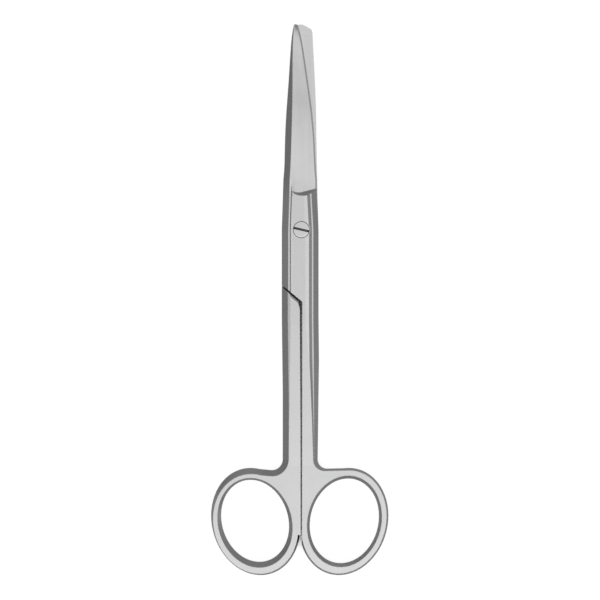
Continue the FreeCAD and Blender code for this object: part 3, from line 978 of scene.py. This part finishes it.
@dataclass
class Studio:
    """Pale table, soft dome of light and a long lens straight above."""

    view_width: float = 201.84 * MM
    aim: tuple[float, float] = (-0.44 * MM, -23.68 * MM)
    focal_length: float = 150.0
    sensor_width: float = 36.0
    focus_height: float = 4.8 * MM
    floor_drop: float = 0.05 * MM
    floor_reach: float = 3.0
    floor_colour: tuple[float, float, float] = (0.3, 0.3, 0.3)
    floor_roughness: float = 0.9
    floor_glow: float = 0.87
    floor_glow_reflected: float = 0.1
    # The table's glow is switched off, as painted shade, where the sky that it sees within this reach
    # falls from lit to dark.
    gap_reach: float = 12 * MM
    gap_dark: float = 0.1
    gap_lit: float = 0.3
    # Angles from straight up in degrees, and how bright the dome is there.
    light_stops: tuple[tuple[float, float], ...] = (
        (0.0, 0.54),
        (7.0, 0.64),
        (14.0, 2.5),
        (18.0, 1.25),
        (23.0, 0.82),
        (28.0, 0.8),
        (32.0, 1.45),
        (37.0, 0.66),
        (43.0, 0.48),
        (50.0, 0.34),
        (60.0, 0.27),
        (72.0, 0.175),
        (90.0, 0.3),
    )
    light_lean: float = 3.0
    # The dome is brighter to the right, and in a band towards the near side.
    right_gain: float = 0.15
    near_gain: float = 0.45
    near_rise: tuple[float, float] = (-0.05, 0.22)
    near_fall: tuple[float, float] = (0.6, 0.35)
    backdrop: float = 0.93
    clip: tuple[float, float] = (0.05, 20.0)

    def build(self) -> None:
        """Makes the table, the light and the camera."""
        self.build_floor()
        self.build_light()
        self.build_camera()
        bpy.context.scene.view_settings.view_transform = "Standard"
        log.info("studio: table, dome and camera")

    def build_floor(self) -> None:
        """Makes the pale table top."""
        mesh = bpy.data.meshes.new("table_top")
        reach, drop = self.floor_reach, -self.floor_drop
        corners = [
            (-reach, -reach, drop),
            (reach, -reach, drop),
            (reach, reach, drop),
            (-reach, reach, drop),
        ]
        mesh.from_pydata(corners, [], [(0, 1, 2, 3)])
        floor = bpy.data.objects.new("table_top", mesh)
        bpy.context.scene.collection.objects.link(floor)
        material = bpy.data.materials.new("table_top")
        material.use_nodes = True
        material.node_tree.nodes.clear()
        wiring = Wiring(material.node_tree)
        shader = wiring.add("ShaderNodeBsdfPrincipled")
        shader.inputs["Base Color"].default_value = (*self.floor_colour, 1.0)
        shader.inputs["Roughness"].default_value = self.floor_roughness
        shader.inputs["Emission Color"].default_value = (1.0, 1.0, 1.0, 1.0)
        # Painted shade: the table's glow fades out where little sky is open, so gaps show dark.
        sky = wiring.add("ShaderNodeAmbientOcclusion", samples=SHADE_SAMPLES)
        sky.inputs["Distance"].default_value = self.gap_reach
        lit = wiring.ramp(sky.outputs["AO"], self.gap_dark, self.gap_lit)
        reflected = wiring.add("ShaderNodeLightPath").outputs["Is Glossy Ray"]
        glow = wiring.mix(Mixing.NUMBER, reflected, self.floor_glow, self.floor_glow_reflected)
        wiring.feed(shader.inputs["Emission Strength"], wiring.math("MULTIPLY", lit, glow))
        surface = wiring.add("ShaderNodeOutputMaterial")
        wiring.feed(surface.inputs["Surface"], shader.outputs[0])
        mesh.materials.append(material)

    def build_light(self) -> None:
        """Makes the dome, graded by the angle from straight up, and the lens's pale backdrop."""
        world = bpy.data.worlds.new("dome")
        world.use_nodes = True
        world.node_tree.nodes.clear()
        bpy.context.scene.world = world
        wiring = Wiring(world.node_tree)
        direction = wiring.add("ShaderNodeTexCoord")
        lean = wiring.add("ShaderNodeVectorRotate", rotation_type="Y_AXIS")
        wiring.feed(lean.inputs["Vector"], direction.outputs["Generated"])
        lean.inputs["Angle"].default_value = math.radians(self.light_lean)
        split = wiring.add("ShaderNodeSeparateXYZ")
        wiring.feed(split.inputs[0], lean.outputs[0])
        tilt = wiring.math("ARCCOSINE", split.outputs[2])
        share = wiring.math("DIVIDE", tilt, math.radians(HORIZON_ANGLE), clamp=True)
        ramp = wiring.add("ShaderNodeValToRGB")
        ramp.color_ramp.interpolation = "B_SPLINE"
        stops = ramp.color_ramp.elements
        while len(stops) < len(self.light_stops):
            stops.new(0.5)
        # The new stops can change places while they move, so the levels are set afterwards.
        for stop, (angle, _) in zip(stops, self.light_stops):
            stop.position = angle / HORIZON_ANGLE
        for stop, (_, level) in zip(stops, self.light_stops):
            stop.color = (level, level, level, 1.0)
        wiring.feed(ramp.inputs[0], share)
        sides = wiring.add("ShaderNodeSeparateXYZ")
        wiring.feed(sides.inputs[0], direction.outputs["Generated"])
        right = wiring.math("MULTIPLY_ADD", sides.outputs[0], self.right_gain, 1.0)
        nearness = wiring.math("MULTIPLY", sides.outputs[1], -1.0)
        rising = wiring.ramp(nearness, *self.near_rise)
        falling = wiring.ramp(nearness, *self.near_fall)
        band = wiring.math("MULTIPLY", rising, falling)
        near = wiring.math("MULTIPLY_ADD", band, self.near_gain, 1.0)
        dome = wiring.add("ShaderNodeBackground")
        wiring.feed(dome.inputs["Color"], ramp.outputs[0])
        wiring.feed(dome.inputs["Strength"], wiring.math("MULTIPLY", right, near))
        backdrop = wiring.add("ShaderNodeBackground")
        backdrop.inputs["Color"].default_value = (self.backdrop, self.backdrop, self.backdrop, 1.0)
        seen = wiring.add("ShaderNodeLightPath")
        mixed = wiring.add("ShaderNodeMixShader")
        wiring.feed(mixed.inputs[0], seen.outputs["Is Camera Ray"])
        wiring.feed(mixed.inputs[1], dome.outputs[0])
        wiring.feed(mixed.inputs[2], backdrop.outputs[0])
        target = wiring.add("ShaderNodeOutputWorld")
        wiring.feed(target.inputs["Surface"], mixed.outputs[0])

    def build_camera(self) -> None:
        """Makes the camera, straight above, with the view's width across its sensor."""
        camera = bpy.data.cameras.new("lens")
        camera.lens = self.focal_length
        camera.sensor_width = self.sensor_width
        holder = bpy.data.objects.new("lens", camera)
        distance = self.view_width * self.focal_length / self.sensor_width
        holder.location = (*self.aim, self.focus_height + distance)
        camera.clip_start, camera.clip_end = self.clip
        bpy.context.scene.collection.objects.link(holder)
        bpy.context.scene.camera = holder


def main() -> None:
    """Builds the scissors and the studio, and reports each piece."""
    grain_group()
    edge_group()
    crevice_group()
    handling_group()
    ring_turn_group()
    sharp_ring, blunt_ring = ring_middle("sharp_ring_hook"), ring_middle("blunt_ring_hook")
    Forging("sharp_half", spine_side=-1.0, inner_side=-1.0, ring_centre=sharp_ring).dress()
    Forging("blunt_half", spine_side=1.0, inner_side=1.0, ring_centre=blunt_ring).dress()
    PivotScrew().build()
    Studio().build()


if __name__ == "__main__":
    main()
